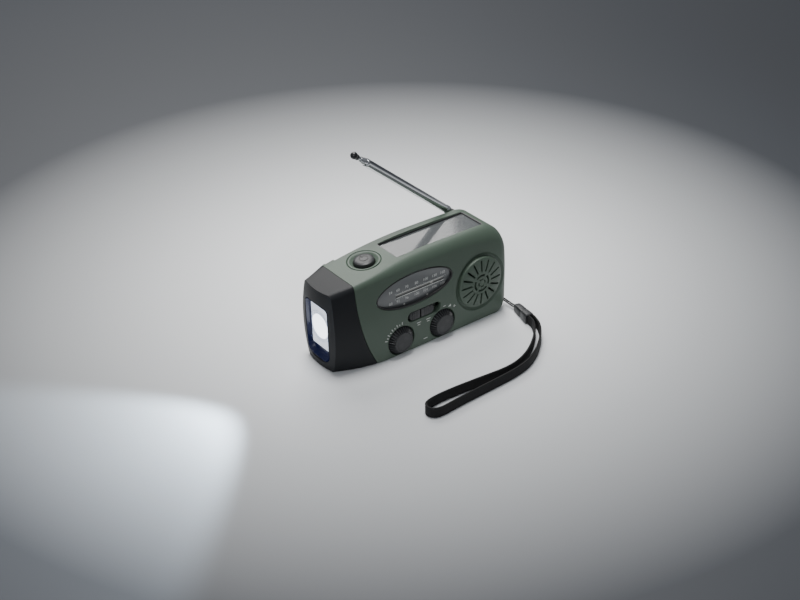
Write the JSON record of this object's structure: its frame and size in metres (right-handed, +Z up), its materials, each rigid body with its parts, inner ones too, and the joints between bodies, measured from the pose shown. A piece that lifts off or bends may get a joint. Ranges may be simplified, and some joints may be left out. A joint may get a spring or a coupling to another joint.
{
  "type": "emergency radio",
  "caption": "Hand-crank emergency radio with an oval tuning dial, round speaker grille, solar panel, torch head, swivelling telescopic antenna and a webbing wrist strap.",
  "frame": {"origin": "centre of the flat base the radio stands on", "axes": "+X along the length, from the torch to the strap end; -Y towards the user facing the dial; +Z up"},
  "size_m": [0.1313, 0.1067, 0.117],
  "materials": {
    "casing_green": "fine matt texture",
    "head_black": "fine matt texture",
    "clear": "clear, glossy plastic",
    "reflector": "bright metallised plastic",
    "led_white": "translucent white",
    "control_grey": "satin",
    "part_black": "matt",
    "cell_blue": "dark, glossy",
    "dial_grey": "satin",
    "part_white": "satin",
    "cord_fabric": "waxed cord",
    "steel": "plain",
    "cloth": "matt",
    "board": "satin",
    "battery_blue": "shrink sleeve",
    "copper": "plain",
    "chrome": "polished",
    "tip_black": "glossy",
    "flap_rubber": "matt",
    "lamp_red": "translucent",
    "strap_fabric": "woven"
  },
  "bodies": {
    "radio": {"front_shell": "casing_green", "rear_shell": "casing_green", "torch_head": "head_black", "torch_lens": "clear", "torch_reflector": "reflector", "torch_led": "led_white", "torch_switch": "part_black", "solar_cover": "clear", "solar_cell": "cell_blue", "dial_plate": "dial_grey", "dial_rail": "part_white", "dial_cord": "cord_fabric", "cord_guides": "steel", "tuning_capacitor": "part_white", "volume_control": "steel", "band_switch_body": "steel", "speaker_cloth": "cloth", "speaker_frame": "steel", "speaker_cone": "cloth", "speaker_magnet": "steel", "main_board": "board", "battery_pack": "battery_blue", "ferrite_rod": "part_black", "antenna_coil": "copper", "gearbox_plate": "steel", "generator": "steel", "antenna_bracket": "chrome", "bracket_screws": "steel", "antenna_screw": "chrome", "usb_socket": "chrome", "charge_socket": "chrome", "port_board": "board", "charge_lamp": "lamp_red", "case_screws": "steel", "strap_pin": "steel", "strap_cord": "strap_fabric", "strap_clamp": "part_black", "strap_webbing": "strap_fabric"},
    "tuning": {"tuning_knob": "control_grey", "tuning_drum": "part_white"},
    "pointer": {"dial_pointer": "part_white"},
    "volume": {"volume_knob": "control_grey"},
    "band_slider": {"band_switch_cap": "control_grey"},
    "torch_push": {"torch_button": "control_grey"},
    "crank": {"crank_arm": "casing_green", "drive_gear": "part_white", "handle_pin": "chrome"},
    "handle": {"crank_handle": "control_grey"},
    "gear_pair": {"intermediate_gear": "part_white"},
    "rotor": {"generator_pinion": "copper"},
    "antenna_1": {"antenna_tube": "chrome"},
    "antenna_2": {"antenna_section_2": "chrome"},
    "antenna_3": {"antenna_section_3": "chrome"},
    "antenna_4": {"antenna_tip": "tip_black"},
    "flap": {"port_cover": "flap_rubber"}
  },
  "joints": [
    {"name": "tuning_turn", "type": "hinge", "parent": "radio", "child": "tuning", "pos_m": [-0.0189, -0.02, 0.0099], "axis": [0, 1, 0], "range_deg": [-219, 70]},
    {"name": "pointer_slide", "type": "slide", "parent": "radio", "child": "pointer", "axis": [1, 0, 0], "range_m": [-0.0249, 0.008]},
    {"name": "volume_turn", "type": "hinge", "parent": "radio", "child": "volume", "pos_m": [0.0117, -0.02, 0.0099], "axis": [0, 1, 0], "range_deg": [-150, 150]},
    {"name": "band_slide", "type": "slide", "parent": "radio", "child": "band_slider", "axis": [1, 0, 0], "range_m": [0, 0.0032]},
    {"name": "torch_press", "type": "slide", "parent": "radio", "child": "torch_push", "axis": [0.1231, 0, -0.9924], "range_m": [0, 0.0012], "stiffness_N_per_m": 1500, "springref_m": -0.0006},
    {"name": "crank_turn", "type": "hinge", "parent": "radio", "child": "crank", "pos_m": [0, 0.019, 0.0285], "axis": [0, 1, 0], "continuous": true},
    {"name": "handle_fold", "type": "hinge", "parent": "crank", "child": "handle", "pos_m": [-0.0385, 0.0213, 0.0285], "axis": [0, 0, 1], "range_deg": [0, 90]},
    {"name": "gear_pair_turn", "type": "hinge", "parent": "radio", "child": "gear_pair", "pos_m": [0.01783, 0.008, 0.026], "axis": [0, 1, 0], "continuous": true},
    {"name": "rotor_turn", "type": "hinge", "parent": "radio", "child": "rotor", "pos_m": [0.03283, 0.006, 0.026], "axis": [0, 1, 0], "continuous": true},
    {"name": "antenna_swing", "type": "hinge", "parent": "radio", "child": "antenna_1", "pos_m": [0.0509, 0.0165, 0.0547], "axis": [0, 1, 0], "range_deg": [-40, 100]},
    {"name": "antenna_slide_2", "type": "slide", "parent": "antenna_1", "child": "antenna_2", "axis": [-0.766, 0, 0.6428], "range_m": [0, 0.058]},
    {"name": "antenna_slide_3", "type": "slide", "parent": "antenna_2", "child": "antenna_3", "axis": [-0.766, 0, 0.6428], "range_m": [0, 0.058]},
    {"name": "antenna_slide_4", "type": "slide", "parent": "antenna_3", "child": "antenna_4", "axis": [-0.766, 0, 0.6428], "range_m": [0, 0.058]},
    {"name": "flap_open", "type": "hinge", "parent": "radio", "child": "flap", "pos_m": [0.0638, 0.0112, 0.031], "axis": [0, 0, 1], "range_deg": [0, 110]}
  ],
  "couplings": [
    {"joint": "pointer_slide", "follows": "tuning_turn", "m_per_rad": 0.0065},
    {"joint": "gear_pair_turn", "follows": "crank_turn", "ratio": -4},
    {"joint": "rotor_turn", "follows": "crank_turn", "ratio": 16}
  ]
}
